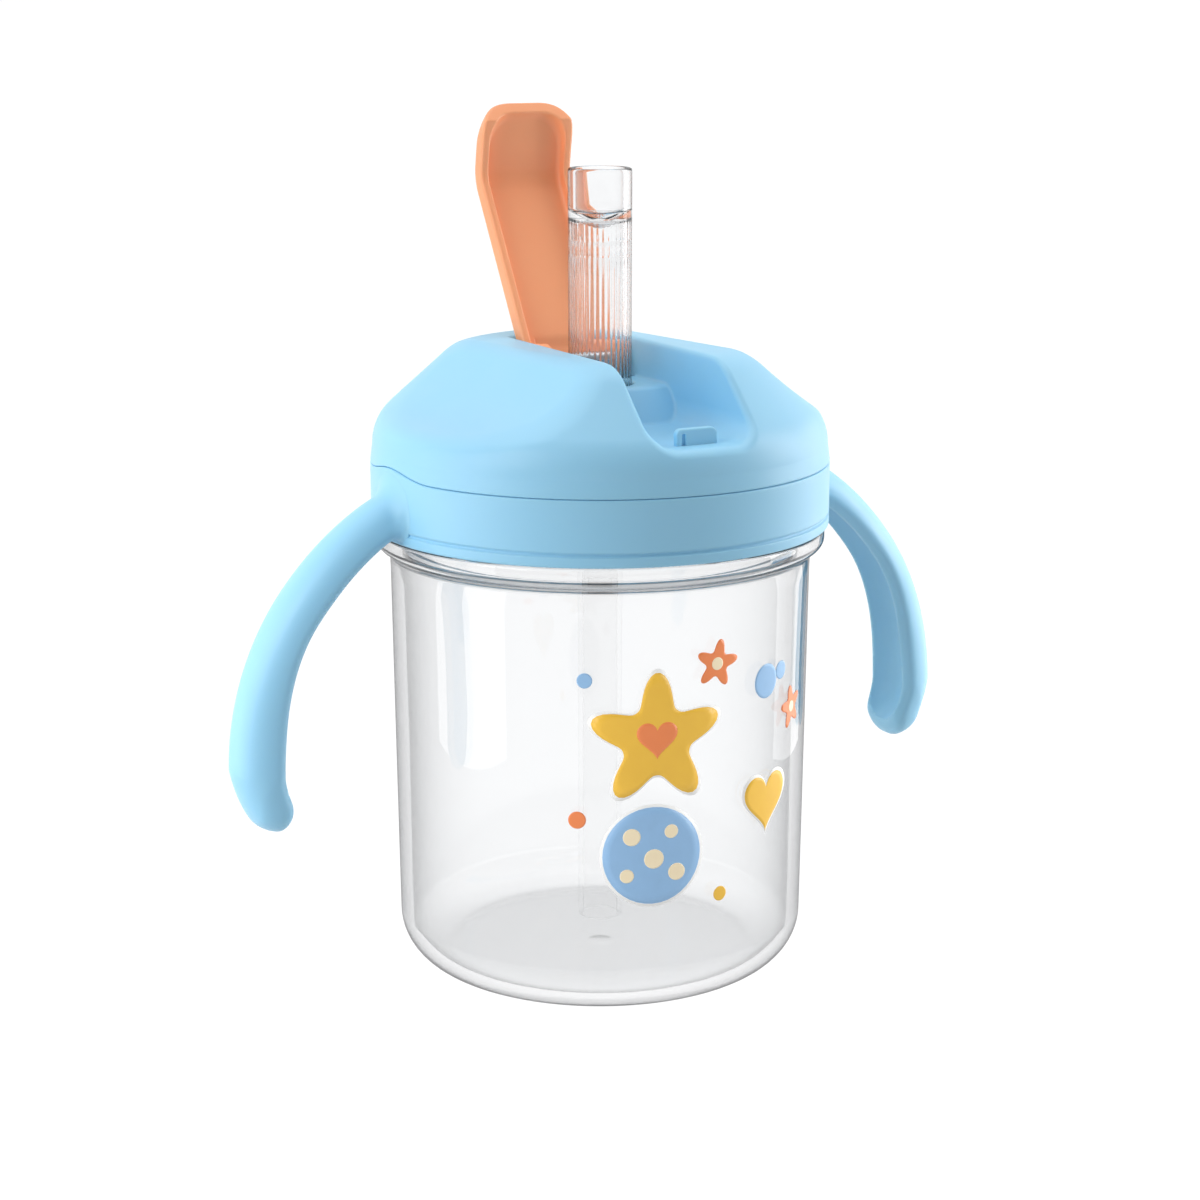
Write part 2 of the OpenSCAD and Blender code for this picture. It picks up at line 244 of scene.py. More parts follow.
def surface_nets(field, xs, ys, zs, lift=None):
    """Vertices and quads of the zero surface, on a grid whose planes may be unevenly spaced."""
    X, Y, Z = np.meshgrid(xs, ys, zs, indexing="ij")
    if lift is not None:
        Z = Z + lift(X, Y, Z)
    F = field(X, Y, Z)
    inside = F < 0
    nx, ny, nz = F.shape
    corner = [(i, j, k) for i in (0, 1) for j in (0, 1) for k in (0, 1)]

    def at(A, c):
        return A[c[0]:nx - 1 + c[0], c[1]:ny - 1 + c[1], c[2]:nz - 1 + c[2]]

    count = sum(at(inside, c).astype(np.int8) for c in corner)
    mixed = (count > 0) & (count < 8)
    index = np.full(mixed.shape, -1)
    index[mixed] = np.arange(mixed.sum())
    total = np.zeros((mixed.sum(), 3))
    crossings = np.zeros(mixed.sum())
    for a in corner:
        for axis in range(3):
            if a[axis]:
                continue
            b = tuple(1 if n == axis else a[n] for n in range(3))
            fa, fb = at(F, a)[mixed], at(F, b)[mixed]
            crossed = (fa < 0) != (fb < 0)
            t = np.where(crossed, fa / np.where(crossed, fa - fb, 1), 0)
            pa = np.stack([at(A, a)[mixed] for A in (X, Y, Z)], 1)
            pb = np.stack([at(A, b)[mixed] for A in (X, Y, Z)], 1)
            total += np.where(crossed[:, None], pa + t[:, None] * (pb - pa), 0)
            crossings += crossed
    points = total / crossings[:, None]
    quads = []
    for axis in range(3):
        u, v = (axis + 1) % 3, (axis + 2) % 3
        low = [slice(1, -1)] * 3
        low[axis] = slice(0, -1)
        high = list(low)
        high[axis] = slice(1, None)
        first, second = inside[tuple(low)], inside[tuple(high)]
        where = np.argwhere(first != second)
        flip = first[tuple(where.T)]
        where[:, u] += 1
        where[:, v] += 1
        ring = []
        for du, dv in ((1, 1), (0, 1), (0, 0), (1, 0)):
            cell = where.copy()
            cell[:, u] -= du
            cell[:, v] -= dv
            ring.append(index[tuple(cell.T)])
        quad = np.stack(ring, 1)
        quad[~flip] = quad[~flip][:, ::-1]
        quads.append(quad)
    return points, np.concatenate(quads)


def relax(points, quads, field, rounds):
    """Evens the mesh out along the surface, so that its quads are regular."""
    edges = np.concatenate([quads[:, [n, (n + 1) % 4]] for n in range(4)])
    degree = np.bincount(edges.ravel(), minlength=len(points))
    for _ in range(rounds):
        mean = np.stack([
            np.bincount(edges[:, 0], points[edges[:, 1], n], len(points))
            + np.bincount(edges[:, 1], points[edges[:, 0], n], len(points)) for n in range(3)
        ], 1) / degree[:, None]
        normal = gradient(field, points)
        normal /= np.maximum(np.linalg.norm(normal, axis=1), 1e-6)[:, None]
        move = (mean - points) * 0.5
        move -= normal * (move * normal).sum(1)[:, None]
        points = project(field, points + move, 1)
    return points


def make_mesh(name, points, faces, normals=None):
    """A mesh object from millimetre points; its vertex normals are the field's own, where given."""
    mesh = bpy.data.meshes.new(name)
    mesh.from_pydata((np.asarray(points) * MM).tolist(), [], [list(map(int, f)) for f in faces])
    mesh.validate()
    mesh.polygons.foreach_set("use_smooth", np.ones(len(mesh.polygons), bool))
    if normals is not None:
        mesh.normals_split_custom_set_from_vertices(normals.tolist())
    mesh.update()
    obj = bpy.data.objects.new(name, mesh)
    bpy.context.scene.collection.objects.link(obj)
    return obj


def field_mesh(name, field, xs, ys, zs, lift=None, place=None, rounds=3):
    """The field's surface as a mesh object; place() moves it into the row's frame."""
    points, quads = surface_nets(field, xs, ys, zs, lift)
    points = project(field, points)
    points = relax(points, quads, field, rounds)
    points = project(field, points, 2)
    normals = gradient(field, points)
    normals /= np.maximum(np.linalg.norm(normals, axis=1), 1e-6)[:, None]
    if place is not None:
        points, normals, quads = place(points, normals, quads)
    return make_mesh(name, points, quads, normals)


def span(low, high, step):
    """Evenly spaced grid planes, about step apart."""
    return np.linspace(low, high, int(round((high - low) / step)) + 1)


# ---------------------------------------------------------------- turned shapes
def arc(cx, cz, r, start, end, steps=6):
    """Points along an arc about (cx, cz), with its angles in degrees."""
    angles = np.radians(np.linspace(start, end, steps + 1))
    return [(cx + r * math.cos(a), cz + r * math.sin(a)) for a in angles]


def weigh_normals(obj):
    """Keeps flat and straight faces flat in the shading, so that only the small radii turn."""
    modifier = obj.modifiers.new("even shading", "WEIGHTED_NORMAL")
    modifier.weight = 60
    modifier.keep_sharp = True
    return obj


def lathe(name, profile, segments, closed=True):
    """Turns a profile of (radius, height) points about Z. profile may be a function of the angle."""
    angles = np.linspace(0, 2 * math.pi, segments, endpoint=False)
    outlines = [profile(a) if callable(profile) else profile for a in angles]
    count = len(outlines[0])
    on_axis = [abs(p[0]) < 1e-9 for p in outlines[0]]
    points, index = [], np.zeros((segments, count), int)
    for n in range(count):
        for s, a in enumerate(angles):
            if on_axis[n] and s:
                index[s, n] = index[0, n]
                continue
            index[s, n] = len(points)
            r, z = outlines[s][n]
            points.append((r * math.cos(a), r * math.sin(a), z))
    faces = []
    for s in range(segments):
        t = (s + 1) % segments
        for n in range(count if closed else count - 1):
            m = (n + 1) % count
            face = [index[s, n], index[t, n], index[t, m], index[s, m]]
            face = [v for k, v in enumerate(face) if v not in face[:k]]
            if len(face) > 2:
                faces.append(face)
    return weigh_normals(make_mesh(name, points, faces))


def thread_points(inner_r, outer_r, start, outward):
    """One start of a thread: a ridge with a trapezoid section that climbs along its arc."""
    points, faces = [], []
    for i in range(THREAD_STEPS + 1):
        t = i / THREAD_STEPS
        angle = start + THREAD_TURN * (t - 0.5)
        z = THREAD_Z + THREAD_RISE * (t - 0.5)
        fade = min(1, 6 * t, 6 * (1 - t)) * 0.97 + 0.03
        root, crest = (inner_r, outer_r) if outward else (outer_r, inner_r)
        tip = root + (crest - root) * fade
        for r, h in ((root, -THREAD_ROOT_HALF), (tip, -THREAD_CREST_HALF),
                     (tip, THREAD_CREST_HALF), (root, THREAD_ROOT_HALF)):
            points.append((r * math.cos(angle), r * math.sin(angle), z + h))
        if i:
            base = 4 * (i - 1)
            for n in range(4):
                m = (n + 1) % 4
                face = [base + n, base + m, base + 4 + m, base + 4 + n]
                faces.append(face if outward else face[::-1])
    ends = [[0, 3, 2, 1], [4 * THREAD_STEPS + n for n in range(4)]]
    faces += ends if outward else [f[::-1] for f in ends]
    return points, faces


def join(main, *others):
    """Adds other objects' meshes to main and removes them."""
    with bpy.context.temp_override(active_object=main, selected_editable_objects=[main, *others]):
        bpy.ops.object.join()
    return main


def add_threads(obj, inner_r, outer_r, first, outward):
    for n in range(THREAD_STARTS):
        start = math.radians(first + 360 / THREAD_STARTS * n)
        points, faces = thread_points(inner_r, outer_r, start, outward)
        join(obj, make_mesh("thread", points, faces))


# ---------------------------------------------------------------- materials
def new_material(name):
    material = bpy.data.materials.new(name)
    material.use_nodes = True
    tree = material.node_tree
    return material, tree, tree.nodes["Principled BSDF"]


def link(tree, a, out, b, into):
    tree.links.new(a.outputs[out], b.inputs[into])


def noise(tree, scale, detail=2, stretch=(1, 1, 1)):
    place = tree.nodes.new("ShaderNodeTexCoord")
    mapping = tree.nodes.new("ShaderNodeMapping")
    mapping.inputs["Scale"].default_value = stretch
    texture = tree.nodes.new("ShaderNodeTexNoise")
    texture.inputs["Scale"].default_value = scale
    texture.inputs["Detail"].default_value = detail
    link(tree, place, "Object", mapping, "Vector")
    link(tree, mapping, "Vector", texture, "Vector")
    return texture


def spread(tree, source, low, high):
    """Maps a noise's usual range onto low to high."""
    node = tree.nodes.new("ShaderNodeMapRange")
    node.inputs["From Min"].default_value = 0.3
    node.inputs["From Max"].default_value = 0.7
    node.inputs["To Min"].default_value = low
    node.inputs["To Max"].default_value = high
    link(tree, source, "Fac", node, "Value")
    return node


def srgb(r, g, b):
    """A linear colour from 0 to 255 screen values."""
    return tuple(c / 12.92 if c <= 0.04045 else ((c + 0.055) / 1.055) ** 2.4
                 for c in (r / 255, g / 255, b / 255)) + (1,)


def blend_colours(tree, source, out, light, deep):
    """A colour that goes from light to deep with the source's value. light is None where it is linked."""
    mix = tree.nodes.new("ShaderNodeMix")
    mix.data_type = "RGBA"
    if light is not None:
        mix.inputs["A"].default_value = light
    mix.inputs["B"].default_value = deep
    link(tree, source, out, mix, "Factor")
    return mix


def bump(tree, shader, height, out, strength, distance):
    node = tree.nodes.new("ShaderNodeBump")
    node.inputs["Strength"].default_value = strength
    node.inputs["Distance"].default_value = distance
    link(tree, height, out, node, "Height")
    link(tree, node, "Normal", shader, "Normal")


def moulded_plastic(name, light, deep, rough, grain=0.05, inner=0.0):
    """Satin moulded plastic: faint flow clouds in the colour, uneven gloss and a fine spark-eroded grain."""
    material, tree, shader = new_material(name)
    mix = blend_colours(tree, noise(tree, 26, 3), "Fac", light, deep)
    link(tree, mix, "Result", shader, "Base Color")
    gloss = spread(tree, noise(tree, 90, 2), rough - 0.05, rough + 0.06)
    link(tree, gloss, "Result", shader, "Roughness")
    bump(tree, shader, noise(tree, 2600, 2), "Fac", grain, 0.00004)
    # Light enters the plastic a little way
    if inner:
        shader.inputs["Subsurface Weight"].default_value = inner
        shader.inputs["Subsurface Radius"].default_value = (0.6, 0.8, 1.0)
        shader.inputs["Subsurface Scale"].default_value = 0.002
    return material


def power(tree, source, out, exponent):
    node = tree.nodes.new("ShaderNodeMath")
    node.operation = "POWER"
    node.inputs[1].default_value = exponent
    link(tree, source, out, node, 0)
    return node


def see_through(tree, colour):
    node = tree.nodes.new("ShaderNodeBsdfTransparent")
    node.inputs["Color"].default_value = colour
    return node


def mix_shaders(tree, source, out, first, second):
    node = tree.nodes.new("ShaderNodeMixShader")
    link(tree, source, out, node, "Fac")
    tree.links.new(first, node.inputs[1])
    tree.links.new(second, node.inputs[2])
    return node.outputs["Shader"]


def clear_plastic(name, ior, rough, tint, edge, grain=0.02, lamps=0.96, edge_shade_share=0.75):
    """Clear plastic or silicone, greyer where it is seen edge-on. Lamps shine through it.

    tint colours what passes straight through and edge what passes at a slant, which is partly the longer
    path through the wall and partly painted shade; lamps is the share of a lamp's light that gets through,
    and the last argument the share of the wall that turns to painted shade edge-on.
    """
    material, tree, shader = new_material(name)
    shader.inputs["Transmission Weight"].default_value = 1
    shader.inputs["IOR"].default_value = ior
    along = (1, 1, 0.25)
    tint_deep = tuple(c * 0.985 for c in tint[:3]) + (1,)
    body = blend_colours(tree, noise(tree, 30, 2, along), "Fac", tint, tint_deep)
    # Greyer at a slant: partly the longer path through the wall, partly painted shade for the darker
    # surroundings seen in it
    facing = tree.nodes.new("ShaderNodeLayerWeight")
    facing.inputs["Blend"].default_value = 0.5
    mix = blend_colours(tree, power(tree, facing, "Facing", 2.2), "Value", None, edge)
    link(tree, body, "Result", mix, "A")
    link(tree, mix, "Result", shader, "Base Color")
    gloss = spread(tree, noise(tree, 60, 2), max(rough - 0.01, 0), rough + 0.015)
    link(tree, gloss, "Result", shader, "Roughness")
    bump(tree, shader, noise(tree, 55, 1, along), "Fac", grain, 0.0004)
    # Painted shade: seen nearly edge-on, part of the wall turns to a dark see-through film, in place of the
    # darker surroundings it would mirror
    share = tree.nodes.new("ShaderNodeMath")
    share.operation = "MULTIPLY"
    share.inputs[1].default_value = edge_shade_share
    link(tree, power(tree, facing, "Facing", 4), "Value", share, 0)
    painted_edge_shade = see_through(tree, (0.2, 0.21, 0.23, 1))
    edge_shaded = mix_shaders(tree, share, "Value", shader.outputs["BSDF"], painted_edge_shade.outputs["BSDF"])
    passing = see_through(tree, (lamps, lamps, lamps, 1))
    path = tree.nodes.new("ShaderNodeLightPath")
    both = mix_shaders(tree, path, "Is Shadow Ray", edge_shaded, passing.outputs["BSDF"])
    tree.links.new(both, tree.nodes["Material Output"].inputs["Surface"])
    return material


def printed_ink(name, colour):
    """Screen-printed ink: a soft sheen with slightly uneven cover."""
    material, tree, shader = new_material(name)
    thick = tuple(0.9 * c for c in colour[:3]) + (1,)
    mix = blend_colours(tree, noise(tree, 420, 3), "Fac", colour, thick)
    link(tree, mix, "Result", shader, "Base Color")
    gloss = spread(tree, noise(tree, 200, 2), 0.32, 0.45)
    link(tree, gloss, "Result", shader, "Roughness")
    bump(tree, shader, noise(tree, 3000, 2), "Fac", 0.08, 0.00003)
    # Painted light: the ink glows a little, in place of the light that reaches it from behind through the
    # clear cup
    link(tree, mix, "Result", shader, "Emission Color")
    shader.inputs["Emission Strength"].default_value = 0.22
    return material


def steel(name):
    """Drawn steel rod: fine lines along its length."""
    material, tree, shader = new_material(name)
    shader.inputs["Metallic"].default_value = 1
    lines = noise(tree, 900, 2, (0.02, 1, 1))
    mix = blend_colours(tree, lines, "Fac", srgb(205, 206, 208), srgb(170, 172, 176))
    link(tree, mix, "Result", shader, "Base Color")
    link(tree, spread(tree, lines, 0.2, 0.34), "Result", shader, "Roughness")
    bump(tree, shader, lines, "Fac", 0.1, 0.00002)
    return material


blue = moulded_plastic("lid_blue", srgb(156, 214, 244), srgb(150, 209, 240), 0.42, inner=0.15)
orange = moulded_plastic("cover_orange", srgb(255, 174, 126), srgb(255, 167, 118), 0.4, inner=0.15)
white = moulded_plastic("inner_white", srgb(240, 241, 242), srgb(233, 235, 236), 0.38)
rubber = moulded_plastic("seal_silicone", srgb(222, 226, 228), srgb(212, 217, 220), 0.5, 0.03, 0.3)
clear = clear_plastic("clear_body", 1.5, 0.015, (0.95, 0.955, 0.96, 1), (0.52, 0.53, 0.55, 1))
silicone = clear_plastic("clear_silicone", 1.41, 0.03, (0.96, 0.965, 0.97, 1), (0.42, 0.42, 0.43, 1),
                         0.01, edge_shade_share=0.5)
# The photo shows nothing of the tube in the cup, so its index is close to that of air
faint = clear_plastic("clear_tube", 1.015, 0.01, (0.998, 0.998, 0.998, 1), (0.97, 0.97, 0.97, 1),
                      0.01, lamps=1.0, edge_shade_share=0.03)
pin_steel = steel("pin_steel")


def dress(obj, material):
    obj.data.materials.clear()
    obj.data.materials.append(material)
    return obj


def stand_for(obj, nodes, body, material):
    """obj takes the place of CAD nodes on their body, dressed in the given material."""
    dress(obj, material)
    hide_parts(*nodes)
    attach(obj, body)
    return obj


# ---------------------------------------------------------------- lid dome
def dome_profile(r, z, inset):
    """Field of the dome's outline, moved inwards by inset."""
    cone = ((r - SHOULDER_X) + (z - SHOULDER_Z)) / math.sqrt(2)
    along = np.clip(((r - SHOULDER_X) - (z - SHOULDER_Z)) / math.sqrt(2),
                    -math.hypot(SHOULDER_X - BROW_X, BROW_Z - SHOULDER_Z), 0)
    near_r = SHOULDER_X + along / math.sqrt(2)
    near_z = SHOULDER_Z - along / math.sqrt(2)
    inside = np.maximum(np.maximum(r - SHOULDER_X, z - BROW_Z), cone)
    reach = np.where((z < SHOULDER_Z) & (r > SHOULDER_X), r - SHOULDER_X,
                     np.where((r < BROW_X) & (z > BROW_Z), z - BROW_Z,
                              np.hypot(r - near_r, z - near_z)))
    field = np.where(inside > 0, reach, inside) - (SHOULDER_R - inset)
    return field - SIDE_DRAFT * np.maximum(SHOULDER_Z - z, 0)


def slot_open(x, y, z):
    """Field of the open space of the slot, with the straw block taken out of it."""
    section = round_box(np.abs(x) - SLOT_HALF, SLOT_FLOOR - z, SLOT_CORNER)
    lean = (y - SLOT_BACK_Y - (z - SLOT_BACK_Z) * math.tan(SLOT_BACK_LEAN)) * math.cos(SLOT_BACK_LEAN)
    back = np.minimum(y - SLOT_BACK_Y, lean)
    space = round_cut(section, back, 0.8)
    run = BLOCK_FRONT_TOP - BLOCK_FRONT_LOW
    rise = BLOCK_TOP - SLOT_FLOOR
    front = (-(y - BLOCK_FRONT_LOW) * rise + (z - SLOT_FLOOR) * run) / math.hypot(run, rise)
    top = np.minimum(np.maximum(z - BLOCK_TOP, y - BLOCK_STEP_Y), z - BLOCK_STEP_Z)
    block = round_cut(front, top, 0.7)
    return round_cut(space, -block, 0.5)


def dome_field(x, y, z):
    """The dome with its scoops and slot, hollow below, with the holes for straw and pin."""
    r = np.hypot(x, y)
    across = np.abs(x * math.cos(SCOOP_TURN) + y * math.sin(SCOOP_TURN))
    scoop = SCOOP_R - np.hypot(across - SCOOP_X, z - SCOOP_Z)
    outer = round_cut(dome_profile(r, z, 0), scoop, 1.8)
    hollow = np.maximum(dome_profile(r, z, WALL), scoop + WALL)
    hollow = np.maximum(hollow, np.minimum(r - SEAT_R, SEAT_TOP - z))
    tray = np.maximum(np.abs(x) - TRAY_HALF, np.maximum(y - SLOT_BACK_Y - 6, TRAY_FLOOR - z))
    hollow = round_cut(hollow, -tray, 0.5)
    solid = round_cut(outer, -slot_open(x, y, z), 0.8 + 0.5 * smooth_step(-22, -30, y))
    solid = np.maximum(solid, -hollow)
    solid = round_cut(solid, STRAW_HOLE_R - r, 0.4)
    pin_hole = np.maximum(np.hypot(y - PIVOT_Y, z - PIVOT_Z) - PIN_R - 0.03, np.abs(x) - TRAY_HALF - 0.5)
    solid = np.maximum(solid, -pin_hole)
    floor = np.maximum(RING_TOP + 0.03 - z,
                       np.minimum(r - RING_BORE_R + 0.1, RING_TOP + 0.03 + seam_lift(x, y) - z))
    return round_cut(solid, floor, 0.32)


def seam_warp(x, y, z):
    """Bends the grid's lowest planes along the seam, so that the seam edge comes out clean."""
    return seam_lift(x, y) * (1 - smooth_step(RING_TOP + 0.6, RING_TOP + 9, z))


def build_dome():
    across = span(-40.4, 40.4, 0.5)
    heights = np.concatenate([RING_TOP + np.array(SEAM_LAYERS), span(RING_TOP + 2.05, 111, 0.47)])
    dome = field_mesh("lid_dome", dome_field, across, across, heights, lift=seam_warp)
    return join(dome, latch_tab())


def latch_tab():
    """Thin upright tab on the slot's floor that the closed cover clips over."""
    def field(x, y, z):
        # Leans back a little, with rounded top corners and a shallow notch in its front
        face = np.abs(y - TAB_Y - TAB_LEAN * (z - SLOT_FLOOR)) - TAB_T / 2
        outline = round_box(np.abs(x) - TAB_W / 2, z - SLOT_FLOOR - TAB_H, 1.1)
        tab = round_cut(outline, face, 0.28)
        notch = round_box(np.abs(x - TAB_NOTCH_X) - 0.35, z - SLOT_FLOOR - 1.9, 0.3)
        notch = np.maximum(notch, y - TAB_Y + 0.1)
        tab = round_cut(tab, -notch, 0.12)
        return np.maximum(tab, SLOT_FLOOR - 0.4 - z)

    return field_mesh("latch", field, span(-TAB_W / 2 - 0.5, TAB_W / 2 + 0.5, 0.16),
                      span(TAB_Y - 1.5, TAB_Y + 1.8, 0.16),
                      span(SLOT_FLOOR - 0.7, SLOT_FLOOR + TAB_H + 0.5, 0.16), rounds=1)


# ---------------------------------------------------------------- handle ring
def ring_profile(angle):
    """The ring's section; its top edge follows the seam, and a groove runs near its foot."""
    x, y = LID_R * math.cos(angle), LID_R * math.sin(angle)
    top = RING_TOP - 0.03 + float(seam_lift(x, y))
    soft = 0.3
    inner = RING_BORE_R + 0.25
    return (
        [(RING_LIP_R, PLATE_TOP), (RING_BORE_R, PLATE_TOP), (RING_BORE_R, PLATE_TOP - 0.4),
         (RING_BORE_R, RING_LOW + 0.8), (RING_BORE_R, RING_LOW + 0.3), (RING_BORE_R + 0.3, RING_LOW),
         (LID_R - 1, RING_LOW)]
        + arc(LID_R - 0.5, RING_LOW + 0.5, 0.5, -90, 0, 4)
        + [(LID_R, GROOVE_Z - GROOVE_R - 0.25)]
        + arc(LID_R, GROOVE_Z, GROOVE_R, 270, 90, 6)
        + [(LID_R, GROOVE_Z + GROOVE_R + 0.3), (LID_R, RING_TOP - 2), (LID_R, top - soft - 0.4)]
        + arc(LID_R - soft, top - soft, soft, 0, 90, 4)
        + [(LID_R - soft - 0.4, top), (inner + 0.3, top), (inner, top - 0.02),
           (inner, RING_TOP - 0.05), (RING_LIP_R + 0.2, RING_TOP - 0.05), (RING_LIP_R, RING_TOP - 0.25)]
    )


def build_ring():
    ring = lathe("handle_ring", ring_profile, 288)
    add_threads(ring, NECK_R + THREAD_DEPTH + THREAD_GAP, RING_BORE_R + 0.2, 60, False)
    return ring


# ---------------------------------------------------------------- handles
def handle_solid(x, y, z):
    """One handle: crowned outside, chamfered rim and long recess on the cup's side, hooked nose below."""
    radius = np.hypot(x - ARC_X, z - ARC_Z)
    angle = np.arctan2(z - ARC_Z, x - ARC_X)
    below = z < ARC_Z
    along = np.where(below, z - ARC_Z, angle * ARC_R)
    root = smooth_step(34, 56, along)
    thick = HANDLE_THICK - HANDLE_THINNING * smooth_step(4, 30, along)
    half_w = HANDLE_HALF_W - 0.6 * root + 0.4 * smooth_step(14, -4, along)
    lobe = LOBE * smooth_step(CREASE_Z - 0.5, CREASE_Z - 7, z)
    # Height above the rim on the cup's side, which bulges into the lobe at the lower end
    height = np.where(below, x - ARC_X, radius) - (ARC_R + 0.45 * root - thick) + lobe
    # Below the crease the crown bends in towards the tip
    drop = np.clip((CREASE_Z - z) / (CREASE_Z - TIP_Z), 0, 0.995)
    crown = thick + lobe - 0.02 - 2.2 * drop - 4.0 * (1 - np.sqrt(1 - drop * drop))
    up = np.maximum(height, 0) / crown
    shape = (up ** CROWN_POWER + np.abs(y / half_w) ** CROWN_POWER + 1e-9) ** (1 / CROWN_POWER)
    skin = (shape - 1) * np.minimum(crown, half_w) * 0.92
    # Lower end: a wide U seen from outside, and well rounded on the cup's side
    end = round_box(TIP_Z - z, np.abs(y) - half_w, TIP_CORNER)
    inner = round_cut(end, -height, TIP_ROUND)
    body = round_cut(skin, inner, 0.3 + 1.8 * smooth_step(CREASE_Z, CREASE_Z - 6, z))
    cut = CHAMFER + CHAMFER_FOOT * smooth_step(45, 38, z)
    chamfer = (np.abs(y) - half_w + cut - height) / math.sqrt(2)
    body = round_cut(body, chamfer, 0.25)
    body = round_cut(body, -height, 0.4)
    # Recess in the rim, with a round lower end
    wide = half_w - RECESS_MARGIN
    low = RECESS_LOW_Z - ARC_Z
    side = np.where(along < low, np.hypot(y, along - low), np.abs(y)) / wide
    bowl = height - RECESS_DEPTH * np.clip(1 - side * side, 0, 1) ** 0.8
    recess = np.maximum(bowl, (side - 1) * wide)
    return round_cut(body, -recess, 0.5)


def handle_field(x, y, z):
    """A handle with its fillet onto the ring, and the patch of the ring that the fillet needs."""
    r = np.hypot(x, y)
    lifted = RING_TOP + seam_lift(x, y)
    ring = np.maximum(r - LID_R, np.maximum(z - lifted + 0.1, RING_LOW + 0.2 - z))
    arm = handle_solid(x, y, z)
    both = round_join(arm, ring, ROOT_FILLET)
    # Kept: what stands out of the ring near the root, and a little inside its wall
    both = np.maximum(np.maximum(both, LID_R - 0.7 - r), z - lifted + 0.12)
    return np.maximum(both, np.where(r < LID_R + 0.04, arm - 0.96 * ROOT_FILLET, -9))


def build_handle(name, side):
    """side is 1 for the handle at +X, and -1 for its mirror image."""
    def place(points, normals, quads):
        if side > 0:
            return points, normals, quads
        flip = np.array([-1, 1, 1])
        return points * flip, normals * flip, quads[:, ::-1]

    return field_mesh(name, handle_field, span(37.4, 70.4, 0.42), span(-12, 12, 0.42),
                      span(31, 95, 0.42), place=place)


# ---------------------------------------------------------------- flip cover
def cover_field(u, v, w):
    """The closed cover about its hinge axis: u runs forward, v across and w up."""
    du, dw = u - COVER_BEND_U, w - (KNUCKLE_R - COVER_BEND_R)
    turn = math.pi / 2 - COVER_SLOPE
    angle = np.arctan2(dw, du)
    slope = du * math.cos(turn) + dw * math.sin(turn)
    within = (angle > turn) & (angle < math.pi / 2)
    skin = np.where(within, np.hypot(du, dw), np.maximum(dw, slope)) - COVER_BEND_R
    plan = round_box(u - COVER_TIP, np.abs(v) - COVER_HALF, COVER_CORNER)
    # The front wall ends higher, so that it clears the dome's lip when shut
    bevel = COVER_RISE * (u - COVER_TIP + 3.5) - 6.0 - w
    rim = np.maximum(-(skin + COVER_DEPTH), bevel)
    shell = round_cut(skin, plan, 1.3)
    shell = round_cut(shell, rim, 0.6)
    shell = np.maximum(shell, -u)
    knuckle = round_cut(np.hypot(u, w) - KNUCKLE_R + KNUCKLE_INSET, np.abs(v) - COVER_HALF, 0.5)
    shell = np.minimum(shell, knuckle)
    ridge = np.hypot(u - RIDGE_U, w - RIDGE_W)
    ridge = np.hypot(ridge, np.maximum(np.abs(v) - RIDGE_HALF, 0)) - RIDGE_R
    shell = round_join(shell, ridge, 0.8)
    tip_wall = round_box(u - COVER_TIP + COVER_TIP_WALL, np.abs(v) - COVER_HALF, COVER_CORNER)
    cavity = round_cut(skin + COVER_WALL, tip_wall + COVER_WALL, 0.9)
    cavity = np.maximum(cavity, COVER_DEPTH + 0.4 - u)
    shell = round_cut(shell, -cavity, 0.35)
    # Between the lugs the cover leaves room for the fold of the straw
    roof = KNUCKLE_R - COVER_WALL + 0.5 * smooth_step(LUG_REACH, 3.8, u)
    gap = np.maximum(np.maximum(np.abs(u) - LUG_REACH, np.abs(v) - LUG_INNER), w - roof)
    shell = np.maximum(shell, -gap)
    return np.maximum(shell, PIN_R + 0.06 - np.hypot(u, w))


def build_cover():
    def place(points, normals, quads):
        # Closed frame: u is -Y and v is X of the row frame
        def turn(p, shift):
            x, y, z = p[:, 1], -p[:, 0], p[:, 2]
            c, s = math.cos(-COVER_ANGLE), math.sin(-COVER_ANGLE)
            return np.stack([x, y * c - z * s, y * s + z * c], 1) + shift
        return turn(points, (0, PIVOT_Y, PIVOT_Z)), turn(normals, 0), quads

    return field_mesh("flip_cover", cover_field, span(-4.4, 49.4, 0.34), span(-9.4, 9.4, 0.34),
                      span(-9.6, 4.6, 0.34), place=place)


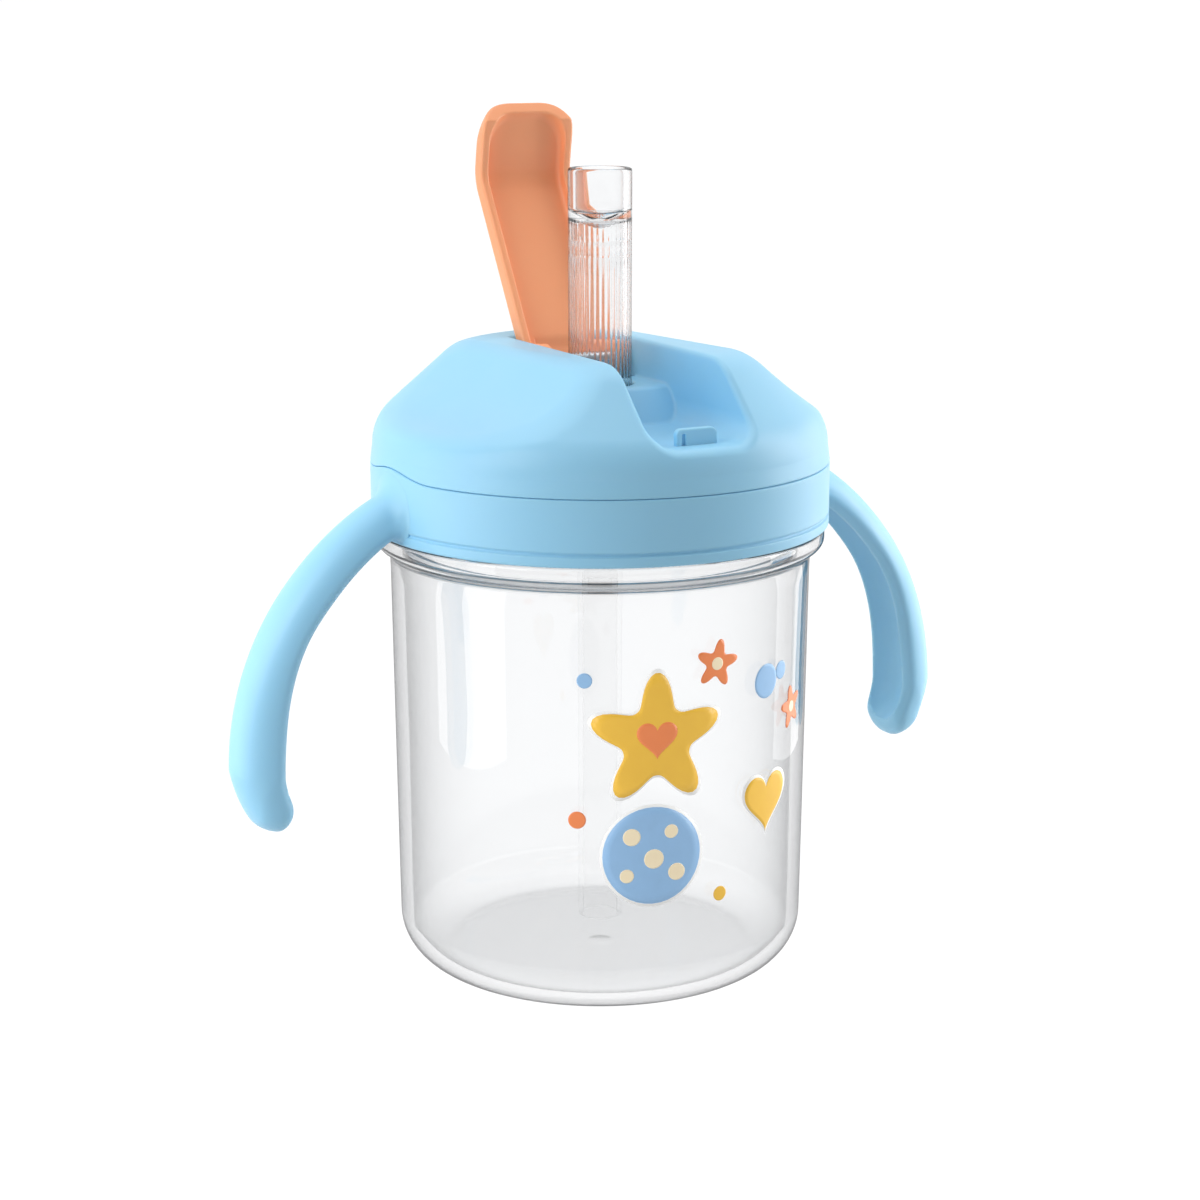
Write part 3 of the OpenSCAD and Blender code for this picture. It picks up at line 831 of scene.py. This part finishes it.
# ---------------------------------------------------------------- clear cup
def build_cup():
    """Cup, flange and neck in one: up the outside from the gate mark, over the rim and down inside."""
    high_in = CUP_R_HIGH - CUP_WALL
    low_in = CUP_R_LOW - CUP_WALL
    fillet_in = CUP_FILLET - CUP_WALL
    profile = (
        [(0, 0.12), (1.2, 0.1), (2.2, 0.05), (3.2, 0), (10, 0), (20, 0)]
        + arc(CUP_R_LOW - CUP_FILLET, CUP_FILLET, CUP_FILLET, -90, 0, 16)
        + [(CUP_R_LOW + 0.1, 16), (CUP_R_LOW + 0.4, 40), (CUP_R_HIGH - 0.03, FLANGE_LOW - 4),
           (CUP_R_HIGH + 0.05, FLANGE_LOW - 1.4), (CUP_R_HIGH + 0.4, FLANGE_LOW - 0.4)]
        + arc(FLANGE_R - 1.8, FLANGE_LOW + 1.8, 1.8, -75, 0, 8)
        + [(FLANGE_R, FLANGE_TOP - 0.5), (FLANGE_R - 0.4, FLANGE_TOP), (NECK_R + 0.4, FLANGE_TOP),
           (NECK_R, FLANGE_TOP + 0.4), (NECK_R, RIM_TOP - 0.4), (NECK_R - 0.4, RIM_TOP),
           (NECK_INNER_R + 0.4, RIM_TOP), (NECK_INNER_R, RIM_TOP - 0.4), (NECK_INNER_R, FLANGE_TOP + 1.4),
           (NECK_INNER_R + 0.2, FLANGE_TOP + 0.8), (high_in - 0.3, FLANGE_LOW + 0.8),
           (high_in, FLANGE_LOW - 0.6), (high_in - 0.05, FLANGE_LOW - 5),
           (low_in + 0.3, 40), (low_in + 0.1, 16)]
        + arc(low_in - fillet_in, CUP_WALL + fillet_in, fillet_in, 0, -90, 14)
        + [(20, CUP_WALL), (10, CUP_WALL), (0, CUP_WALL)]
    )
    cup = lathe("cup_body", profile, 224, closed=False)
    add_threads(cup, NECK_R - 0.2, NECK_R + THREAD_DEPTH, 0, True)
    return cup


# ---------------------------------------------------------------- straws
def mouthpiece_profile(angle):
    """From the valve's face up the bore, over the lip, down the outside and up the ribbed lower bore."""
    rib = STRAW_RIB * math.cos(STRAW_RIBS * angle)
    bore, top, low = STRAW_BORE, STRAW_TOP, STRAW_FOOT_Z
    rings = []
    for z in STRAW_RINGS_Z:
        rings += [(bore + rib, z - 0.25), (bore - STRAW_RING, z), (bore + rib, z + 0.25)]
    return (
        [(0, VALVE_Z - 1.2), (0.8, VALVE_Z - 1.1), (bore - 0.7, VALVE_Z + 0.55),
         (bore, VALVE_Z + 1.3), (bore, top - 0.5), (bore + 0.3, top - 0.1), (bore + 0.6, top),
         (STRAW_R - 0.35, top), (STRAW_R - 0.08, top - 0.15), (STRAW_R, top - 0.5)]
        + [(STRAW_R, z) for z in np.linspace(top - 6, low + 4.4, 12)]
        + [(STRAW_R + 0.1, low + 4.0), (STRAW_FOOT_R - 0.2, low + 2.9), (STRAW_FOOT_R, low + 2.6),
           (STRAW_FOOT_R, low), (bore, low), (bore + rib, low + 1.5)]
        + [(bore + rib, z) for z in (100, 108, 116, 122)]
        + rings
        + [(bore + rib * 0.3, VALVE_Z - 1.2), (bore - 0.25, VALVE_Z - 0.5), (bore - 0.9, VALVE_Z - 0.75),
           (0.8, VALVE_Z - 1.95), (0, VALVE_Z - 2)]
    )


def build_mouthpiece():
    return lathe("straw_mouthpiece", lambda a: mouthpiece_profile(a)[::-1], 240, closed=False)


def build_lower_straw():
    low, high, r, bore = TUBE_LOW, TUBE_TOP, TUBE_R, TUBE_BORE
    soft = 0.15
    profile = [(bore, low + soft), (bore + soft, low), (r - soft, low), (r, low + soft)]
    profile += [(r, z) for z in np.linspace(low + 6, high - 6, 10)]
    profile += [(r, high - soft), (r - soft, high), (bore + soft, high), (bore, high - soft)]
    profile += [(bore, z) for z in np.linspace(high - 6, low + 6, 10)]
    return lathe("lower_straw", profile, 64)


# ---------------------------------------------------------------- print on the cup
def wall_radius(z):
    """The cup's outer radius at a height, on its slight taper."""
    return CUP_R_LOW + (CUP_R_HIGH - CUP_R_LOW) * z / FLANGE_LOW


def ink_patch(name, angle, height, outline, material, layer=0):
    """A flat outline in millimetres, wrapped on the cup's wall as a thin closed film."""
    outline = np.array(outline, float)
    centre = outline.mean(0)
    rings = PRINT_RINGS
    points, faces = [], []
    count = len(outline)
    lift = PRINT_LIFT + PRINT_LAYER * layer

    def wrap(p, extra):
        z = height + p[1]
        r = wall_radius(z) + extra
        a = math.radians(angle) + p[0] / wall_radius(height)
        return (r * math.cos(a), r * math.sin(a), z)

    for extra in (lift, PRINT_UNDER):
        for k in range(rings, 0, -1):
            for p in outline:
                points.append(wrap(centre + (p - centre) * k / rings, extra))
        points.append(wrap(centre, extra))
    size = rings * count + 1
    for level in range(2):
        base = level * size
        for k in range(rings):
            for n in range(count):
                m = (n + 1) % count
                a, b = base + k * count + n, base + k * count + m
                if k == rings - 1:
                    face = [a, b, base + size - 1]
                else:
                    face = [a, b, b + count, a + count]
                faces.append(face if level == 0 else face[::-1])
    for n in range(count):
        m = (n + 1) % count
        faces.append([m, n, size + n, size + m])
    return dress(make_mesh(name, points, faces), material)


def full_turn(count):
    return np.linspace(0, 2 * math.pi, count, endpoint=False)


def disc(radius, at=(0, 0), count=40):
    turn = full_turn(count)
    return np.stack([at[0] + radius * np.cos(turn), at[1] + radius * np.sin(turn)], 1)


def star(radius, tilt=90):
    """Soft five-pointed star: its radius swells at each tip."""
    turn = full_turn(90)
    wave = 0.5 + 0.5 * np.cos(5 * (turn - math.radians(tilt)))
    r = radius * (1 - 0.48 * (1 - wave ** 1.4))
    return np.stack([r * np.cos(turn), r * np.sin(turn)], 1)


def heart(size):
    """The usual heart curve, size wide."""
    t = full_turn(60)
    x = 16 * np.sin(t) ** 3
    y = 13 * np.cos(t) - 5 * np.cos(2 * t) - 2 * np.cos(3 * t) - np.cos(4 * t)
    return np.stack([x * size / 32, (y + 2) * size / 32], 1)


def build_print():
    """Generic shapes, each placed by its angle about the cup in degrees and its height."""
    yellow = printed_ink("ink_yellow", srgb(246, 196, 70))
    cream = printed_ink("ink_cream", srgb(253, 236, 200))
    coral = printed_ink("ink_coral", srgb(244, 140, 84))
    sky = printed_ink("ink_sky", srgb(150, 192, 232))
    whitish = printed_ink("ink_white", srgb(250, 250, 248))
    patches = []

    def add(name, angle, height, outline, material, layer=0):
        patches.append(ink_patch(name, angle, height, outline, material, layer))

    # Ball with dots
    ball = (-104, 29.5)
    add("ball_edge", *ball, disc(9.0), whitish)
    add("ball", *ball, disc(8.5), sky, 1)
    dots = ((-3.6, 3.4, 1.5), (3.2, 4.0, 1.2), (0.2, -0.6, 1.7), (-4.4, -3.4, 1.2), (4.2, -3.2, 1.5))
    for dx, dy, r in dots:
        add("ball_dot", *ball, disc(r, at=(dx, dy), count=24), cream, 2)
    # Large soft star above it
    add("star_edge", -103, 49.5, star(12.3), whitish)
    add("star", -103, 49.5, star(11.6), yellow, 1)
    add("star_heart", -103, 49.5, heart(7.0), coral, 2)
    # Heart and small stars on the right, and dots around them all
    add("heart_edge", -67, 35, heart(12.4), whitish)
    add("heart", -67, 35, heart(11.2), yellow, 1)
    add("small_star", -86, 61.5, star(4.2, tilt=80), coral)
    add("small_star_eye", -86, 61.5, disc(1.1, count=20), cream, 1)
    add("drop_a", -68, 56.5, disc(3.0), sky)
    add("drop_b", -61, 57.5, disc(1.6, count=24), sky)
    add("small_star_b", -54, 50, star(3.9, tilt=100), coral)
    add("small_star_b_eye", -54, 50, disc(1.0, count=20), cream, 1)
    add("dot_a", -124, 36, disc(1.5, count=24), coral)
    add("dot_b", -84, 21, disc(1.3, count=24), yellow)
    add("dot_c", -122, 60, disc(1.3, count=24), sky)
    whole = patches[0]
    whole.name = "cup_print"
    join(whole, *patches[1:])
    return whole


# ---------------------------------------------------------------- assembly
stand_for(build_dome(), ["lid_dome"], "lid", blue)
stand_for(build_ring(), ["handle_ring"], "lid", blue)
stand_for(build_handle("handle_left", -1), ["handle_left"], "lid", blue)
stand_for(build_handle("handle_right", 1), ["handle_right"], "lid", blue)
stand_for(build_cover(), ["flip_cover"], "cover", orange)
stand_for(build_cup(), ["cup_body", "cup_neck"], "cup", clear)
stand_for(build_lower_straw(), ["lower_straw"], "lid", faint)

mouthpiece = dress(build_mouthpiece(), silicone)
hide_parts("straw_mouthpiece")
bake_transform(mouthpiece)

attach(build_print(), "cup")

for node, material in (("inner_lid", white), ("straw_connector", faint), ("seal_ring", rubber),
                       ("air_valve", rubber), ("hinge_pin", pin_steel)):
    dress(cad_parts[node], material)


# ---------------------------------------------------------------- stage, light and camera
FLOOR_HALF = 30.0
FLOOR_WHITE = 0.985
FLOOR_FILL = 0.5
WORLD_FRONT = 0.22
WORLD_BACK = 1.0
AWAY = (0.47, 0.88, 0.25)
AIM = (0, 0, 0.08)
FOOT_AIM = (0, 0, 0.06)
CAMERA_AT = (-0.2096, -0.3942, 0.1705)
CAMERA_DIP = 13.3
CAMERA_TURN = -28
CAMERA_LENS = 77.8


def build_floor():
    h = FLOOR_HALF
    mesh = bpy.data.meshes.new("floor")
    mesh.from_pydata([(-h, -h, 0), (h, -h, 0), (h, h, 0), (-h, h, 0)], [], [(0, 1, 2, 3)])
    floor = bpy.data.objects.new("floor", mesh)
    bpy.context.scene.collection.objects.link(floor)
    material, tree, shader = new_material("floor_pale")
    shader.inputs["Base Color"].default_value = (0.08, 0.08, 0.08, 1)
    shader.inputs["Roughness"].default_value = 0.9
    shader.inputs["Specular IOR Level"].default_value = 0.0
    shader.inputs["Emission Color"].default_value = (1, 1, 1, 1)
    # White to the eye and through the glass, but a weaker lamp for what stands on it
    path = tree.nodes.new("ShaderNodeLightPath")
    glow = tree.nodes.new("ShaderNodeMapRange")
    glow.inputs["To Min"].default_value = FLOOR_WHITE
    glow.inputs["To Max"].default_value = FLOOR_FILL
    link(tree, path, "Is Diffuse Ray", glow, "Value")
    link(tree, glow, "Result", shader, "Emission Strength")
    floor.data.materials.append(material)
    floor.location = (0, 0, -0.0002)


def softbox(name, place, target, size, power):
    """A soft lamp. The camera doesn't see it, nor does it show through the clear parts."""
    light = bpy.data.lights.new(name, "AREA")
    light.shape = "RECTANGLE"
    light.size, light.size_y = size
    light.energy = power
    lamp = bpy.data.objects.new(name, light)
    bpy.context.scene.collection.objects.link(lamp)
    lamp.location = place
    direction = Vector(target) - Vector(place)
    lamp.rotation_euler = direction.to_track_quat("-Z", "Y").to_euler()
    lamp.visible_camera = False
    lamp.visible_transmission = False


build_floor()
softbox("window_left", (-0.62, -0.12, 0.42), AIM, (0.35, 0.5), 1.85)
softbox("window_right", (0.55, -0.16, 0.22), AIM, (0.22, 0.45), 1.6)
softbox("overhead", (0.0, 0.1, 0.75), AIM, (0.6, 0.6), 1.2)
softbox("strip_left", (-0.16, 0.02, 0.06), FOOT_AIM, (0.13, 0.16), 0.1)
softbox("strip_right", (0.15, 0.0, 0.06), FOOT_AIM, (0.09, 0.16), 0.06)


def build_world():
    """A studio that is bright behind the object and dim on the side that it is looked at from."""
    world = bpy.data.worlds.new("studio")
    bpy.context.scene.world = world
    world.use_nodes = True
    tree = world.node_tree
    place = tree.nodes.new("ShaderNodeTexCoord")
    along = tree.nodes.new("ShaderNodeVectorMath")
    along.operation = "DOT_PRODUCT"
    along.inputs[1].default_value = AWAY
    level = tree.nodes.new("ShaderNodeMapRange")
    level.interpolation_type = "SMOOTHSTEP"
    level.inputs["From Min"].default_value = -0.45
    level.inputs["From Max"].default_value = 0.6
    level.inputs["To Min"].default_value = WORLD_FRONT
    level.inputs["To Max"].default_value = WORLD_BACK
    link(tree, place, "Generated", along, 0)
    link(tree, along, "Value", level, "Value")
    link(tree, level, "Result", tree.nodes["Background"], "Strength")
    tree.nodes["Background"].inputs["Color"].default_value = (1, 1, 1, 1)


build_world()

scene = bpy.context.scene
scene.view_settings.view_transform = "Standard"
camera_data = bpy.data.cameras.new("camera")
camera_data.lens = CAMERA_LENS
camera_data.sensor_width = 36
camera_data.clip_start = 0.01
camera = bpy.data.objects.new("camera", camera_data)
scene.collection.objects.link(camera)
camera.location = CAMERA_AT
camera.rotation_euler = (math.radians(90 - CAMERA_DIP), 0, math.radians(CAMERA_TURN))
scene.camera = camera
